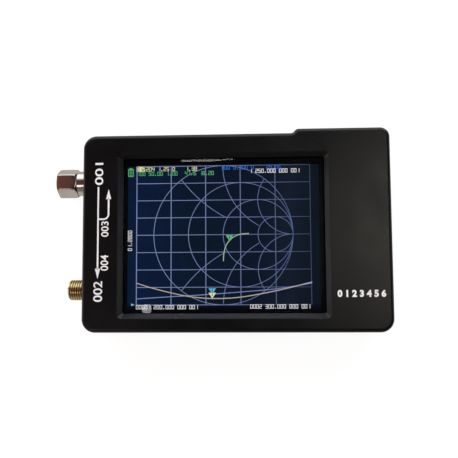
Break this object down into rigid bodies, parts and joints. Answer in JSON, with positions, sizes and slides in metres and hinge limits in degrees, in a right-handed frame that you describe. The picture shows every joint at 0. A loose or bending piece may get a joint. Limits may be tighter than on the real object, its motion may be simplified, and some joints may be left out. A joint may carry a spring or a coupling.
{
  "type": "antenna analyzer",
  "caption": "Hand-held antenna analyzer: flat black plastic case with a colour touch display, threaded radio sockets with a termination in its side, and a recessed lever and power switch.",
  "frame": {"origin": "centre of the flat back face, measured over the case without the raised part of its top edge", "axes": "+Z out of the display, +X along the case to the right, away from the radio sockets, +Y to the top edge, where the lever and the power switch are"},
  "size_m": [0.1015, 0.0601, 0.019],
  "materials": {
    "case_plastic": "satin",
    "screw_steel": "blackened",
    "foam": "matte",
    "touch_glass": "gloss",
    "display_glass": "gloss",
    "light_guide_plastic": "gloss",
    "white_plastic": "satin",
    "ribbon_film": "gloss",
    "board_laminate": "gloss",
    "chip_resin": "matte",
    "chip_ceramic": "matte",
    "shield_steel": "satin",
    "lamp_resin": "gloss",
    "black_plastic": "satin",
    "cell_foil": "satin",
    "cell_tape": "matte",
    "red_wire": "satin",
    "black_wire": "satin",
    "gold_plate": "polished",
    "white_insulator": "satin",
    "nickel_plate": "polished",
    "red_seal": "matte"
  },
  "bodies": {
    "case": {"front_shell": "case_plastic", "back_shell": "case_plastic", "case_screws": "screw_steel", "window_gasket": "foam", "touch_panel": "touch_glass", "display_front_glass": "display_glass", "display_rear_glass": "display_glass", "display_light_guide": "light_guide_plastic", "display_tray": "white_plastic", "display_tape": "foam", "display_ribbon": "ribbon_film", "touch_ribbon": "ribbon_film", "main_board": "board_laminate", "controller_chip": "chip_resin", "clock_chip": "chip_resin", "mixer_chips": "chip_resin", "sampling_chip": "chip_resin", "charger_chip": "chip_resin", "crystals": "shield_steel", "small_parts": "chip_ceramic", "status_lamps": "lamp_resin", "usb_shell": "shield_steel", "usb_tongue": "black_plastic", "lever_base": "black_plastic", "lever_cover": "shield_steel", "switch_base": "black_plastic", "switch_cover": "shield_steel", "battery_cell": "cell_foil", "battery_tape": "cell_tape", "battery_header": "white_plastic", "battery_plug": "white_plastic", "battery_lead_outer": "red_wire", "battery_lead_inner": "black_wire", "socket_1_body": "gold_plate", "socket_1_insulator": "white_insulator", "socket_1_contact": "gold_plate", "socket_1_shield": "shield_steel", "socket_2_body": "gold_plate", "socket_2_insulator": "white_insulator", "socket_2_contact": "gold_plate", "socket_2_shield": "shield_steel"},
    "termination": {"termination_body": "nickel_plate", "termination_ring": "shield_steel", "termination_seal": "red_seal", "termination_insulator": "white_insulator", "termination_pin": "gold_plate", "termination_resistor": "chip_ceramic"},
    "termination_nut": {"termination_nut": "nickel_plate"},
    "lever_carriage": {"lever_carriage": "black_plastic"},
    "lever": {"lever": "black_plastic"},
    "power_knob": {"switch_knob": "black_plastic"}
  },
  "joints": [
    {"name": "termination_nut_turn", "type": "hinge", "parent": "termination", "child": "termination_nut", "pos_m": [-0.052, 0.01625, 0.00985], "axis": [-1, 0, 0], "range_deg": [0, 2160]},
    {"name": "termination_slide", "type": "slide", "parent": "case", "child": "termination", "axis": [-1, 0, 0], "range_m": [0, 0.00423]},
    {"name": "lever_push", "type": "slide", "parent": "case", "child": "lever_carriage", "axis": [0, -1, 0], "range_m": [0, 0.0006], "stiffness_N_per_m": 800, "springref_m": -0.0003},
    {"name": "lever_tilt", "type": "hinge", "parent": "lever_carriage", "child": "lever", "pos_m": [0.0308, 0.0262, 0.00865], "axis": [0, 0, 1], "range_deg": [-12, 12], "stiffness_Nm_per_rad": 0.004},
    {"name": "power_slide", "type": "slide", "parent": "case", "child": "power_knob", "axis": [1, 0, 0], "range_m": [0, 0.002]}
  ],
  "couplings": [
    {"joint": "termination_nut_turn", "follows": "termination_slide", "rad_per_m": 8905.3}
  ]
}
